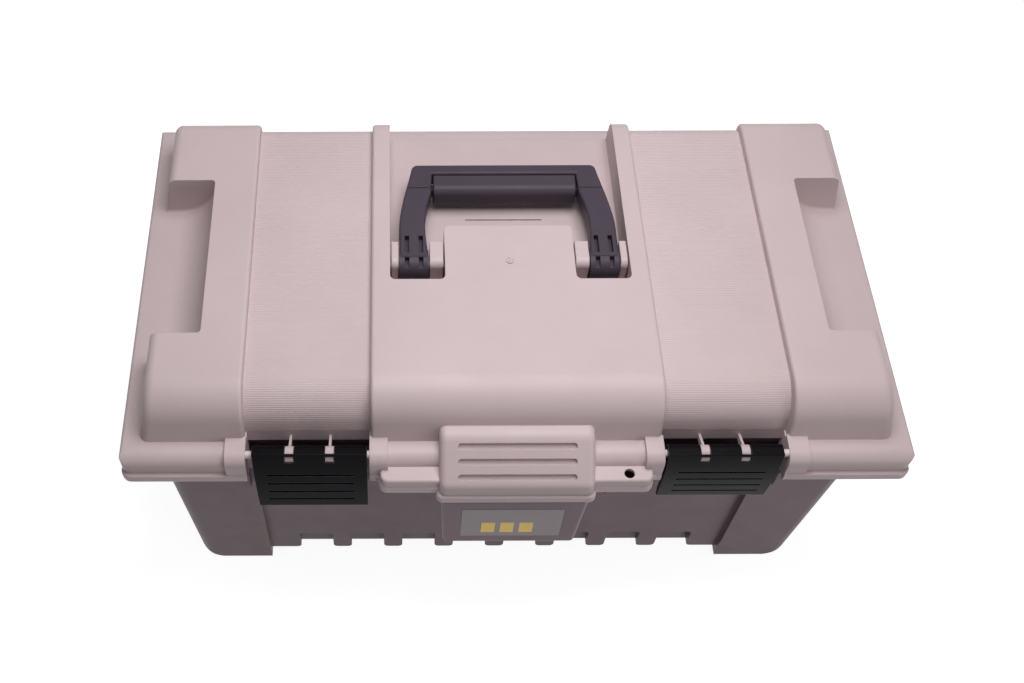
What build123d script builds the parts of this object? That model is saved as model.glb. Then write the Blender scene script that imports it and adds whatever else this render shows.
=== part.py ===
from build123d import *
import os
from math import sqrt

os.makedirs("parts", exist_ok=True)

# Tackle box with a hinged lid, two front latches, a folding carry handle and a lift-out tray.
# Millimetres. X runs along the box, -Y is the front with the latches, Z = 0 is the floor under the feet.
# The origin is on the floor under the middle of the whole box.

# Overall sizes
box_length = 560.0          # over the lip at the two ends
rim_depth = 323.5           # over the lip, front to back
lip_front_y = -155.5        # front of the lip beside the latches
box_height = 276.0          # feet to the top of the lid
wall = 3.0                  # moulded wall

# Lid rim
crown_rise = 38.0           # flange to the top of the lid
skirt_height = 24.0         # parting line to the flange
lip_height = 8.0
lip_proud = 3.2             # how far the lip stands out in front and behind
lip_proud_end = 0.5         # how far it stands out at the two ends
lip_round = 1.6
rim_corner = 6.5
flange_round = 10.0         # roll of the flange in front and behind
flange_end_round = 2.5      # and at the two ends
least_round = 1.0           # smallest corner of a hollow

# Lid crown: the raised part inside the flange
crown_front = -135.9        # at flange level
crown_back = 141.0
crown_lean = 0.26           # run of the front wall for each unit of height
crown_lean_back = 0.13
crown_overhang = 14.0       # flange showing outside the crown at each end
crown_side_lean = 0.18
crown_front_round = 28.0
crown_back_round = 12.0
crown_end_round = 7.0
panel_back_step = 1.0       # the panels' back lies this far inside the blocks'
panel_drop = 8.0            # the ribbed panels lie this much lower
block_width = 88.5          # end block: from the box end to its inner edge
rib_width = 13.8
step_round = 2.4

# Handle well in the lid
well_side = 7.0             # handle foot to the well's side wall
well_depth = 27.0
well_front = -22.0
tongue_half = 48.0
tongue_back = 27.8
well_corner = 4.0
well_slit_y = 54.9
well_slit_half = 30.0
well_slit_width = 1.2

# End grips in the lid
grip_inset = 56.5           # box end to the hollow's inner wall
grip_front = -68.5
grip_length = 142.0
grip_sweep = 32.0           # how far the hollow's floor sweeps outwards
grip_rise = 30.0            # and how far it rises to the inner wall
grip_corner = 3.0

# Front shelves beside the hasp cover
shelf_half = 96.0
shelf_proud = 11.7          # how far the shelf stands out past the skirt
shelf_drop = 8.0            # flange down to the shelf
shelf_wall = 2.0
shelf_corner = 6.0
lip_sweep = 3.2             # hollow corner where the lip turns out round the shelf
shelf_round = 2.0
shelf_lip = 1.0

# Hasp cover in the middle of the lid's front
cover_half = 54.4
cover_proud = 17.2          # how far the cover stands out past the skirt
cover_rise = 15.0           # flange up to the cover's level top
cover_crest = 4.1           # the level top ends this far in front of the crown's foot
cover_crest_round = 12.0
cover_low_round = 8.0
cover_slope_drop = 23.0     # top down to where the slope turns down
cover_reach = 2.8           # parting line down to the cover's lower edge
cover_lip_height = 7.6
cover_lip_proud = 2.0
cover_edge_round = 5.0
cover_groove_half = 41.5
cover_groove_width = 4.4
cover_groove_depth = 2.4
cover_groove_pitch = 11.0
cover_groove_count = 3

# Padlock hole
padlock_x = 79.1
padlock_hole_r = 3.7
padlock_wall_gap = 0.3      # hole to the shelf's front wall
padlock_tab_half = 15.7
padlock_tab_reach = 6.0
padlock_tab_gap = 0.7
padlock_tab_thick = 4.0

# Latches and the rods that they clip round
latch_width = 80.5
latch_gap = 1.6             # latch end to the inner ear
rib_bay_gap = 1.1           # rib of the crown to the latch bay
latch_gap_outer = 4.9       # latch end to the outer ear
latch_wall = 3.5            # lid wall behind the latch
latch_wall_gap = 2.5        # base to that wall
latch_rod_r = 2.8
latch_axis_y = -146.5
latch_roll_r = 6.4
latch_brow = 5.6            # the level top reaches this far in front of the axis
latch_reach = 48.7          # axis to the latch's lower edge
latch_bow = 8.2             # axis to the latch's face
latch_bow_drop = 20.0       # the face stands out furthest this far below the axis
latch_draw = 1.4            # the lower edge lies this much further in than the face
latch_plate = 2.8
latch_cheek = 2.4
latch_cheek_depth = 3.5
latch_taper = 2.5           # the outer edge draws in by this much
latch_hook_r = 41.2         # axis to the top of the latch's hook
latch_hook_tip = 3.0        # the hook's tip stops this far in front of the axis
latch_hook_half = 30.0
latch_right_ajar = 2.0      # degrees away from hooked, as the box stands
latch_left_ajar = 12.0
latch_wall_drop = 8.3       # the wall behind the latch ends this far below the flange
hook_rib_offset = 14.1      # hook ribs, each side of the latch's middle
hook_rib_thick = 1.8
hook_rib_drop = 4.0         # the ribs leave the lid wall this far below the flange
hook_rib_root = 3.8         # height of a rib at that wall
hook_rib_half = 4.2         # half its height at the ring
hook_ring_r = 6.0
hook_ring_width = 6.0
ear_inner_width = 12.9
ear_outer_width = 14.6
ear_proud = 2.2             # ears stand out past the skirt
ear_cheek = 5.0             # solid side of an ear next to the latch
ear_rise = 3.5              # flange up to the top of an ear
ear_sunk = 2.4              # an ear reaches this far into the lid wall behind it
rod_socket = 3.5
rod_end_gap = 0.2
ear_round = 9.0
latch_groove_count = 4
latch_groove_first = 13.2   # axis down to the first groove
latch_groove_pitch = 8.9
latch_groove_half = 31.0
latch_groove_width = 1.8
latch_groove_depth = 1.9
latch_notch = 6.8           # width of the notches for the hook rings
latch_notch_brow = 1.0      # a notch ends this far behind the latch's front edge
latch_notch_low = 1.0       # a notch's floor lies this far below the axis
latch_window_low = -1.0     # a window through the face at each notch: its lower edge over the axis
latch_window_high = 4.4     # and its upper edge
latch_window_depth = 4.0
latch_brow_round = 0.8
latch_ring_gap = 0.4
latch_edge_round = 1.2
latch_cheek_low = 4.0       # cheeks and hook plate end this far above the lower edge

# Handle
handle_axis_y = 0.0
handle_drop = 12.5          # lid top to the handle's axis
handle_knuckle_r = 11.0
handle_outer_half = 81.5    # at the feet
handle_inner_half = 60.0
handle_corner_half = 71.0   # at the far corners
handle_back = 89.7          # far edge of the folded handle
handle_bar = 9.5            # width of the bar behind the grip
handle_below = 2.5          # the arms reach this far below the axis
handle_corner_round = 5.0
handle_round = 2.2
handle_top_gap = 1.0        # the folded handle lies this far below the lid top
handle_pin_r = 3.0
handle_boss_gap = 0.8
boss_slot = 1.0             # boss to the wall beside it
boss_drop = 0.6             # lid top down to a boss
boss_edge_round = 0.8
boss_front = -8.0
boss_back = 13.0
boss_round = 6.0
handle_slot_width = 3.4
handle_slot_length = 16.0
handle_slot_depth = 5.0
handle_slot_spread = 5.2    # slots each side of the arm's middle
handle_slot_start = 3.0
handle_notch_front = 8.0
handle_notch_back = 0.5
handle_seam_back = 24.2     # far edge to the seam
handle_seam = 0.8
grip_half = 55.0
grip_drop = 0.3             # the grip's top lies this far below the handle's
grip_end_round = 1.2
grip_bar_depth = 17.0
grip_bar_height = 20.0
grip_bar_round = 7.0        # front edges
grip_back_round = 2.0       # back edges
grip_bar_gap = 0.8
grip_core_depth = 6.0
grip_core_height = 8.0
grip_core_gap = 0.3
grip_core_root = 3.0        # the core reaches this far into the arms
arm_bend = 20.0             # the arms start to draw in this far behind the axis
arm_middle = 45.0
arm_far = 67.0
arm_draw_outer = 1.5        # outer outline at the arms' middle, from the foot inwards
arm_far_out = 4.7           # and at their far end, from the corner outwards
arm_draw_inner = 1.7        # inner outline at the bend and at the middle, outwards from the foot
arm_draw_middle = 0.8
grip_flare = 1.0            # the opening for the grip widens by this much at its front

# Rear hinges
hinge_axis_drop = 8.0       # parting line down to the hinge axis
hinge_axis_y = 164.5
hinge_barrel_r = 7.0
hinge_rod_r = 2.5
hinge_middle_x = 140.0
hinge_knuckle = 17.5
hinge_knuckle_count = 5
hinge_knuckle_gap = 0.6
hinge_web_gap = 1.5         # lid's hinge web to the base rim
hinge_bracket_rise = 5.0
hinge_gusset = 22.0         # depth of the base's hinge brackets at the tub wall

# Base
tub_half_low = 250.2
tub_half_lean = 0.072
tub_front_low = -119.3
tub_front_lean = 0.014
tub_back_low = 119.0
tub_back_lean = 0.041
tub_corner = 10.0
foot_length = 88.0          # inner edge of a corner foot to the box end, along X
foot_depth = 70.0
foot_height = 12.0
foot_round = 31.0
foot_edge_round = 4.0
foot_side_round = 3.0
recess_depth = 5.0          # the front and back faces between the feet
recess_drop = 9.0           # parting line down to the top of those faces
tab_width = 15.7
tab_pitch = 43.5
tab_count = 7
tab_depth = 7.1
tab_top = 40.0
tab_round = 4.0             # lower corners of the tabs and upper corners of the notches
rim_gap = 1.0               # base rim to lid skirt
rim_rest = 0.3              # base rim to the flange above it
rim_lip_rise = 3.0          # parting line up to the rim's down-lip
rim_round = 8.0

# Centre block of the base, below the hasp cover
hasp_half = 53.3
hasp_half_low = 49.6
hasp_front = -169.0
hasp_top_gap = 1.5          # below the hasp cover
hasp_height = 70.7
hasp_round = 4.0

# Latch pods of the base
pod_front = -143.0
pod_cheek_front = -148.0
pod_top_gap = 3.0
pod_cheek_inner = 12.5
pod_cheek_outer = 16.8
pod_drop = 22.0             # parting line down to where the pods slope back
pod_slope = 29.0
pod_taper = 5.0
nose_half = 34.0
nose_proud = 4.0            # the nose stops this far in front of the latch axis
nose_height = 8.0
nose_gap = 1.4              # nose to the latch's hook

# Label plate
label_half = 37.0
label_height = 44.0
label_thick = 0.4
label_drop = 14.0           # top of the centre block down to the plate
label_seat = 0.3
label_seat_gap = 0.15

# Running clearance of a rod in its hole
running = 0.05

# Tray
tray_half = 251.0
tray_depth = 220.0
tray_middle = 2.5
tray_wall = 2.2
tray_top_rise = 8.0         # parting line up to the tray's rim
tray_height = 61.7
tray_corner = 12.0
tray_rest_gap = 0.3
tray_ledge = 14.0
tray_ledge_thick = 4.0
tray_ledge_half = 60.0
tray_bay = 92.0             # width of the middle bay
tray_bay_middle = 8.0
divider_thick = 2.0
divider_gap = 0.3
divider_guide = 3.0
divider_drop = 4.0          # divider top below the tray rim
divider_pitch = 125.0
divider_count = 3
tray_bail_half = 62.0
tray_bail_reach = 32.0
tray_bail_r = 3.5
tray_bail_grip_r = 5.0
tray_bail_grip_half = 42.0
tray_bail_pin_r = 3.0
tray_bail_pin = 12.0
tray_bail_drop = 26.0       # tray rim down to the bail's axis
tray_bail_axis_y = -20.0
tray_post = 7.0
tray_post_half = 7.0
tray_post_gap = 0.6

# Places that follow from the sizes above
flange_top = box_height - crown_rise
lip_bottom = flange_top - skirt_height
shelf_top = flange_top - shelf_drop
cover_top = flange_top + cover_rise
cover_shoulder = cover_top - cover_slope_drop
cover_bottom = lip_bottom - cover_reach
ear_top = flange_top + ear_rise
latch_axis_z = flange_top
recess_top = lip_bottom - recess_drop
rim_lip_bottom = lip_bottom + rim_lip_rise
hasp_top = cover_bottom - hasp_top_gap
hasp_bottom = hasp_top - hasp_height
label_low = hasp_top - label_drop - label_height
pod_bottom = lip_bottom - pod_drop
tray_floor_z = lip_bottom + tray_top_rise - tray_height
tray_bail_axis_z = tray_floor_z + tray_height - tray_bail_drop
well_half = handle_outer_half + well_side
grip_back_y = handle_back - handle_bar - grip_bar_gap
grip_front_y = grip_back_y - grip_bar_depth
skirt_half = box_length / 2 - lip_proud_end
lip_back_y = lip_front_y + rim_depth
skirt_front = lip_front_y + lip_proud
skirt_back = lip_back_y - lip_proud
crown_half = box_length / 2 - crown_overhang
block_inner = box_length / 2 - block_width
rib_outer = well_half + rib_width
panel_top = box_height - panel_drop
panel_front = crown_front + panel_drop
well_floor = box_height - well_depth
handle_axis_z = box_height - handle_drop
boss_top = box_height - boss_drop
padlock_y = lip_front_y + lip_proud - shelf_proud + shelf_wall + padlock_wall_gap + padlock_hole_r
hinge_axis_z = lip_bottom - hinge_axis_drop
hinge_pitch = hinge_knuckle + hinge_knuckle_gap
rim_half = skirt_half - wall - rim_gap
rim_front = skirt_front + wall + rim_gap
rim_back = skirt_back - wall - rim_gap
rim_top = flange_top - wall - rim_rest
bay_inner = rib_outer + rib_bay_gap
latch_inner = bay_inner + latch_gap
latch_outer = latch_inner + latch_width
latch_middle_x = (latch_inner + latch_outer) / 2
bay_outer = latch_outer + latch_gap_outer
foot_inner = box_length / 2 - foot_length
far = 2 * box_length        # a length that reaches past everything
edge_reach = 0.1            # edges and corners are picked this near to their place


def both_sides(part):
    """A right-hand part together with its mirror image."""
    return part + part.mirror(Plane.YZ)


def level_plan(half_x, front_y, back_y, radius, height):
    """A rounded rectangle on the level plane at the given height."""
    with BuildSketch(Plane.XY.offset(height)) as plan:
        with Locations((0, (front_y + back_y) / 2)):
            RectangleRounded(2 * half_x, back_y - front_y, radius)
    return plan.sketch


def rolled_slab(half_x, front_y, back_y, low, high, corner, roll, end_roll):
    """A slab whose top edges are rolled: by roll in front and behind, by end_roll at the ends."""
    view_low = low - wall
    with BuildPart() as slab:
        extrude(level_plan(half_x, front_y, back_y, max(corner, least_round), low), amount=high - low)
        with BuildSketch(Plane.YZ.offset(-half_x)) as side:
            with Locations(((front_y + back_y) / 2, (view_low + high) / 2)):
                Rectangle(back_y - front_y, high - view_low)
            fillet(side.vertices().group_by(Axis.Y)[-1], radius=roll)
        extrude(amount=2 * half_x, mode=Mode.INTERSECT)
        with BuildSketch(Plane.XZ.offset(-back_y)) as front_view:
            with Locations((0, (view_low + high) / 2)):
                Rectangle(2 * half_x, high - view_low)
            fillet(front_view.vertices().group_by(Axis.Y)[-1], radius=max(end_roll, least_round))
        extrude(amount=back_y - front_y, mode=Mode.INTERSECT)
    return slab.part


def side_prism(from_x, to_x, points):
    """A closed outline of (y, z) points, carried along X."""
    with BuildPart() as prism:
        with BuildSketch(Plane.YZ.offset(from_x)):
            with BuildLine():
                Polyline(*points, close=True)
            make_face()
        extrude(amount=to_x - from_x)
    return prism.part


def box_between(low, high):
    """A plain box from its low corner to its high corner."""
    size = [b - a for a, b in zip(low, high)]
    return Pos(*low) * Box(*size, align=(Align.MIN, Align.MIN, Align.MIN))


def rod_along_x(radius, from_x, to_x, y, z):
    """A round rod along X."""
    return Pos((from_x + to_x) / 2, y, z) * Rot(0, 90, 0) * Cylinder(radius, to_x - from_x)


def crown_side(start_x, top, front, back, inset):
    """The crown's side view at start_x, moved inwards by inset, with its rounded shoulders."""
    low = flange_top - 2 * wall
    rise = top - inset - flange_top
    drop = flange_top - low
    with BuildSketch(Plane.YZ.offset(start_x)) as side:
        with BuildLine():
            Polyline(
                (front + inset - drop * crown_lean, low),
                (front + inset + rise * crown_lean, top - inset),
                (back - inset - rise * crown_lean_back, top - inset),
                (back - inset + drop * crown_lean_back, low),
                close=True,
            )
        make_face()
        fillet(side.vertices().group_by(Axis.Y)[-1].sort_by(Axis.X)[0], radius=crown_front_round - inset)
        fillet(side.vertices().group_by(Axis.Y)[-1].sort_by(Axis.X)[-1], radius=crown_back_round - inset)
    return side.sketch


def crown_block(from_x, to_x, inset, both_ends):
    """A raised stretch of the crown with softly rounded step edges."""
    with BuildPart() as block:
        side = crown_side(from_x + inset, box_height, crown_front, crown_back, inset)
        extrude(side, amount=to_x - from_x - (2 * inset if both_ends else inset))
        ends = block.faces().filter_by(Axis.X).sort_by(Axis.X)
        steps = ends[0].edges() + (ends[-1].edges() if both_ends else [])
        low = block.edges().group_by(Axis.Z)[0]
        fillet([e for e in steps if e not in low], radius=step_round)
    return block.part


def crown_form(inset):
    """The whole crown as a solid, moved inwards by inset."""
    end_block = crown_block(block_inner, box_length / 2, inset, False)
    middle = crown_block(-rib_outer, rib_outer, inset, True)
    top_half = crown_half - inset - crown_side_lean * (box_height - flange_top)
    low_half = crown_half - inset + crown_side_lean * 2 * wall
    with BuildPart() as form:
        side = crown_side(-box_length / 2, panel_top, panel_front, crown_back - panel_back_step, inset)
        extrude(side, amount=box_length)
        add(middle)
        add(end_block)
        add(end_block.mirror(Plane.YZ))
        with BuildSketch(Plane.XZ):
            with BuildLine():
                Polyline(
                    (-low_half, flange_top - 2 * wall),
                    (-top_half, box_height - inset),
                    (top_half, box_height - inset),
                    (low_half, flange_top - 2 * wall),
                    close=True,
                )
            make_face()
        extrude(amount=far, both=True, mode=Mode.INTERSECT)
        ends = form.faces().sort_by(Axis.X)
        low = form.edges().group_by(Axis.Z)[0]
        rims = ends[0].edges() + ends[-1].edges()
        fillet([e for e in rims if e not in low], radius=crown_end_round - inset)
    return form.part


def handle_well(grow):
    """The hollow that holds the folded handle: open at the back, with a pocket for each foot."""
    with BuildPart() as hollow:
        with BuildSketch(Plane.XY.offset(well_floor - grow)) as plan:
            with BuildLine():
                Polyline(
                    (-well_half, far / 2), (-well_half, well_front), (-tongue_half, well_front),
                    (-tongue_half, tongue_back), (tongue_half, tongue_back), (tongue_half, well_front),
                    (well_half, well_front), (well_half, far / 2),
                    close=True,
                )
            make_face()
            fillet(plan.vertices().group_by(Axis.Y)[0], radius=well_corner)
            corners = plan.vertices().filter_by_position(Axis.Y, tongue_back - edge_reach,
                                                         tongue_back + edge_reach)
            fillet(corners,
                   radius=well_corner)
            if grow > 0:
                offset(amount=grow)
        extrude(amount=far)
    return hollow.part


def end_grip(grow):
    """The hand hollow in the right end block: upright inner wall, floor sweeping down and outwards."""
    inner = box_length / 2 - grip_inset
    floor = flange_top
    centre = (inner + grip_sweep, floor + grip_rise)
    with BuildPart() as hollow:
        with BuildSketch(Plane.XZ.offset(-grip_front + grow)):
            with BuildLine():
                EllipticalCenterArc(centre, grip_sweep + grow, grip_rise + grow, 180, arc_size=90)
                Polyline(
                    (inner + grip_sweep, floor - grow), (far, floor - grow), (far, far),
                    (inner - grow, far), (inner - grow, floor + grip_rise),
                )
            make_face()
        extrude(amount=-(grip_length + 2 * grow))
        fillet(hollow.edges().filter_by(Axis.Z).group_by(Axis.X)[0], radius=grip_corner + grow)
    return hollow.part


def cover_form(inset):
    """The hasp cover as a solid, moved inwards by inset; the hollow one also runs out below."""
    front = skirt_front - cover_proud + inset
    back = crown_front + 2 * wall
    low = cover_bottom - inset
    top = cover_top - inset
    outline = [(front, low), (front, cover_shoulder - inset), (crown_front - cover_crest, top), (back, top)]
    if inset:
        outline += [(back, low)]
    else:
        outline += [(back, lip_bottom), (skirt_front + wall, lip_bottom), (skirt_front + wall, low)]
    with BuildPart() as form:
        with BuildSketch(Plane.YZ.offset(-cover_half + inset)) as side:
            with BuildLine():
                Polyline(*outline, close=True)
            make_face()
            fillet(side.vertices().filter_by_position(Axis.Y, cover_shoulder - inset - 1, cover_shoulder),
                   radius=cover_low_round - inset)
            fillet(side.vertices().group_by(Axis.Y)[-1].sort_by(Axis.X)[0],
                   radius=cover_crest_round - inset)
        extrude(amount=2 * (cover_half - inset))
        if inset == 0:
            soft = form.faces().filter_by(Axis.X).edges().filter_by_position(Axis.Y, front - 1, crown_front)
            low_edges = form.edges().filter_by_position(Axis.Z, low, lip_bottom + 1)
            fillet([e for e in soft if e not in low_edges], radius=cover_edge_round)
    return form.part


def lid_rim():
    """Skirt, lip, flange, front shelf and hasp cover as one filled solid."""
    with BuildPart() as lip:
        with BuildSketch(Plane.XY.offset(lip_bottom)) as plan:
            with Locations((0, (lip_front_y + lip_back_y) / 2)):
                RectangleRounded(box_length, rim_depth, rim_corner + lip_proud_end)
            with Locations((0, skirt_front - (shelf_proud + shelf_lip) / 2 + shelf_corner)):
                RectangleRounded(2 * (shelf_half + shelf_lip), shelf_proud + shelf_lip + 2 * shelf_corner,
                                 shelf_corner)
            turns = plan.vertices().filter_by_position(Axis.Y, lip_front_y - edge_reach,
                                                       lip_front_y + edge_reach)
            room = shelf_proud + shelf_lip - lip_proud - shelf_corner
            fillet([v for v in turns if abs(v.X) < shelf_half + 2 * shelf_lip],
                   radius=min(lip_sweep, 0.9 * room))
        extrude(amount=lip_height)
        outline = lip.edges().group_by(Axis.Z)
        fillet(outline[0] + outline[-1], radius=lip_round)
    rim = rolled_slab(skirt_half, skirt_front, skirt_back, lip_bottom, flange_top, rim_corner,
                      flange_round, flange_end_round)
    with BuildPart() as shelf:
        extrude(level_plan(shelf_half, skirt_front - shelf_proud, skirt_front + 2 * shelf_corner,
                           shelf_corner, lip_bottom), amount=shelf_top - lip_bottom)
        fillet(shelf.edges().group_by(Axis.Z)[-1], radius=shelf_round)
    with BuildPart() as cover_lip:
        with BuildSketch(Plane.XY.offset(cover_bottom)):
            with Locations((0, skirt_front - cover_proud / 2)):
                RectangleRounded(2 * (cover_half + cover_lip_proud), cover_proud + 2 * cover_lip_proud,
                                 cover_edge_round)
        extrude(amount=cover_lip_height)
        outline = cover_lip.edges().group_by(Axis.Z)
        fillet(outline[0] + outline[-1], radius=lip_round)
    return rim + lip.part + shelf.part + cover_form(0) + cover_lip.part


def lid_ear(from_x, to_x):
    """One of the two blocks on the right that carry a latch rod."""
    with BuildPart() as ear:
        with BuildSketch(Plane.YZ.offset(from_x)) as side:
            with BuildLine():
                Polyline(
                    (crown_front + ear_sunk, lip_bottom + lip_height),
                    (skirt_front - ear_proud, lip_bottom + lip_height),
                    (skirt_front - ear_proud, ear_top), (crown_front + ear_sunk, ear_top),
                    close=True,
                )
            make_face()
            fillet(side.vertices().group_by(Axis.Y)[-1].sort_by(Axis.X)[0], radius=ear_round)
        extrude(amount=to_x - from_x)
    return ear.part


def lid_air():
    """The hollow under the lid: the same forms moved inwards by the wall."""
    below = lip_bottom - wall
    rim = rolled_slab(skirt_half - wall, skirt_front + wall, skirt_back - wall, below, flange_top - wall,
                      rim_corner - wall, flange_round - wall, flange_end_round - wall)
    with BuildPart() as shelf:
        extrude(level_plan(shelf_half - wall, skirt_front - shelf_proud + shelf_wall,
                           skirt_front + 2 * shelf_corner, shelf_corner - shelf_wall, below),
                amount=shelf_top - wall - below)
    latch_side = latch_bay(-ear_cheek, latch_wall)
    air = rim + crown_form(wall) + shelf.part + cover_form(wall)
    return air - handle_well(wall) - both_sides(end_grip(wall)) - both_sides(latch_side)


def latch_bay(inset, behind):
    """Room for the right latch: its back wall carries the panel's front on downwards."""
    def on_wall(z):
        return (panel_front + behind - crown_lean * (flange_top - z), z)

    return side_prism(bay_inner + inset, bay_outer - inset, [
        (-far, 0), on_wall(0), on_wall(flange_top), (panel_front + behind - 1, flange_top + 1),
        (-far, flange_top + 1),
    ])


def hook_rib(middle_x):
    """A thin rib with a ring round the latch rod."""
    root = panel_front + latch_wall / 3
    low = hook_rib_drop + hook_rib_root
    rib = side_prism(middle_x - hook_rib_thick / 2, middle_x + hook_rib_thick / 2, [
        (latch_axis_y, latch_axis_z - hook_rib_half), (root - crown_lean * low, flange_top - low),
        (root - crown_lean * hook_rib_drop, flange_top - hook_rib_drop),
        (latch_axis_y, latch_axis_z + hook_rib_half),
    ])
    ring = rod_along_x(hook_ring_r, middle_x - hook_ring_width / 2, middle_x + hook_ring_width / 2,
                       latch_axis_y, latch_axis_z)
    return rib + ring


def handle_boss(from_x, to_x):
    """A block in the handle well that carries an end of a handle pin."""
    with BuildPart() as boss:
        with BuildSketch(Plane.YZ.offset(from_x)) as side:
            with BuildLine():
                Polyline((boss_front, well_floor - 1), (boss_front, boss_top), (boss_back, boss_top),
                         (boss_back, well_floor - 1), close=True)
            make_face()
            fillet(side.vertices().group_by(Axis.Y)[-1].sort_by(Axis.X)[0], radius=boss_round)
        extrude(amount=to_x - from_x)
        fillet(boss.edges().group_by(Axis.Z)[-1].filter_by(Axis.Y), radius=boss_edge_round)
    return boss.part


def knuckles(first, count):
    """Hinge barrels of the right-hand group: every second place, from the given place on."""
    start = hinge_middle_x - hinge_pitch * hinge_knuckle_count / 2 + hinge_knuckle_gap / 2
    places = [start + hinge_pitch * (first + 2 * i) for i in range(count)]
    return [(x, x + hinge_knuckle) for x in places]


def cover_grooves():
    """The finger grooves on the slope of the hasp cover."""
    crest = (crown_front - cover_crest, cover_top)
    foot = (skirt_front - cover_proud, cover_shoulder)
    middle = (0, (crest[0] + foot[0]) / 2, (crest[1] + foot[1]) / 2)
    slope = Plane(origin=middle, x_dir=(1, 0, 0), z_dir=(0, foot[1] - crest[1], crest[0] - foot[0]))
    with BuildPart() as grooves:
        with BuildSketch(slope):
            with GridLocations(0, cover_groove_pitch, 1, cover_groove_count):
                SlotOverall(2 * cover_groove_half, cover_groove_width)
        extrude(amount=-cover_groove_depth)
    return grooves.part


def lid_form():
    """The finished lid shell."""
    ears = lid_ear(bay_inner - ear_inner_width, bay_inner) + lid_ear(bay_outer, bay_outer + ear_outer_width)
    outer = lid_rim() + crown_form(0) + both_sides(ears) - both_sides(latch_bay(0, 0))
    outer = outer - handle_well(0) - both_sides(end_grip(0))
    shell = outer - lid_air()

    below_wall = box_between((bay_inner, -far, 0), (bay_outer, panel_front + latch_wall + wall,
                                                    flange_top - latch_wall_drop))
    shell -= both_sides(below_wall)

    ribs = hook_rib(latch_middle_x - hook_rib_offset) + hook_rib(latch_middle_x + hook_rib_offset)
    bosses = handle_boss(tongue_half + boss_slot, handle_inner_half - handle_boss_gap)
    bosses += handle_boss(handle_outer_half + handle_boss_gap, well_half - boss_slot)
    webs = Part()
    for low_x, high_x in knuckles(1, hinge_knuckle_count // 2):
        webs += rod_along_x(hinge_barrel_r, low_x, high_x, hinge_axis_y, hinge_axis_z)
        webs += box_between((low_x, rim_back + hinge_web_gap, hinge_axis_z),
                            (high_x, lip_back_y - lip_round, lip_bottom + lip_round))
    shell = shell + both_sides(ribs + bosses + webs)

    sockets = rod_along_x(latch_rod_r + running, bay_inner - rod_socket, bay_outer + rod_socket,
                          latch_axis_y, latch_axis_z)
    sockets += rod_along_x(handle_pin_r + running, tongue_half, well_half + wall / 2,
                           handle_axis_y, handle_axis_z)
    sockets += rod_along_x(hinge_rod_r + running, hinge_middle_x - hinge_pitch * hinge_knuckle_count / 2,
                           hinge_middle_x + hinge_pitch * hinge_knuckle_count / 2,
                           hinge_axis_y, hinge_axis_z)
    shell = shell - both_sides(sockets) - cover_grooves()
    shell -= Pos(padlock_x, padlock_y, shelf_top) * Cylinder(padlock_hole_r, 4 * wall)
    slit_low = (-well_slit_half, well_slit_y - well_slit_width / 2, well_floor - wall / 2)
    shell -= box_between(slit_low, (well_slit_half, well_slit_y + well_slit_width / 2, well_floor + 1))
    return shell


lid_shell = lid_form()
lid_shell.label = "lid_shell"
export_step(lid_shell, "parts/lid_shell.step")


def tub_half(z):
    """Half the tub's length at height z."""
    return tub_half_low + tub_half_lean * z


def tub_front(z):
    """Front face of the tub at height z."""
    return tub_front_low - tub_front_lean * z


def tub_back(z):
    """Back face of the tub at height z."""
    return tub_back_low + tub_back_lean * z


def tub_form(inset):
    """The tub as a solid, moved inwards by inset; the hollow one runs out at the top."""
    top = rim_top + inset
    with BuildPart() as form:
        for z in (inset, top):
            with BuildSketch(Plane.XY.offset(z)):
                with Locations((0, (tub_front(z) + tub_back(z)) / 2)):
                    RectangleRounded(2 * (tub_half(z) - inset), tub_back(z) - tub_front(z) - 2 * inset,
                                     max(tub_corner - inset, least_round))
        loft()
        with BuildSketch(Plane.XZ) as front_view:
            with BuildLine():
                Polyline(
                    (-tub_half(inset) + inset, inset), (-tub_half(top) + inset, top),
                    (tub_half(top) - inset, top), (tub_half(inset) - inset, inset),
                    close=True,
                )
            make_face()
            fillet(front_view.vertices().group_by(Axis.Y)[0], radius=foot_round - inset)
        extrude(amount=far, both=True, mode=Mode.INTERSECT)
        with BuildSketch(Plane.YZ) as side_view:
            with BuildLine():
                Polyline(
                    (tub_front(inset) + inset, inset), (tub_front(top) + inset, top),
                    (tub_back(top) - inset, top), (tub_back(inset) - inset, inset),
                    close=True,
                )
            make_face()
            fillet(side_view.vertices().group_by(Axis.Y)[0], radius=max(foot_edge_round - inset, least_round))
        extrude(amount=far, both=True, mode=Mode.INTERSECT)
    return form.part


def space_between_feet(grow):
    """The space under the box between the left and the right feet, whose lower edges it rounds."""
    half = foot_inner + grow
    with BuildPart() as space:
        with BuildSketch(Plane.XZ) as view:
            Rectangle(2 * half, 2 * (foot_height + grow))
            with Locations((0, grow - foot_height)):
                Rectangle(2 * (half + 2 * foot_side_round), 2 * foot_height)
            edge = view.vertices().filter_by_position(Axis.Y, grow - edge_reach, grow + edge_reach)
            fillet([v for v in edge if abs(v.X) < half + edge_reach], radius=foot_side_round)
        extrude(amount=far, both=True)
    return space.part


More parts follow.
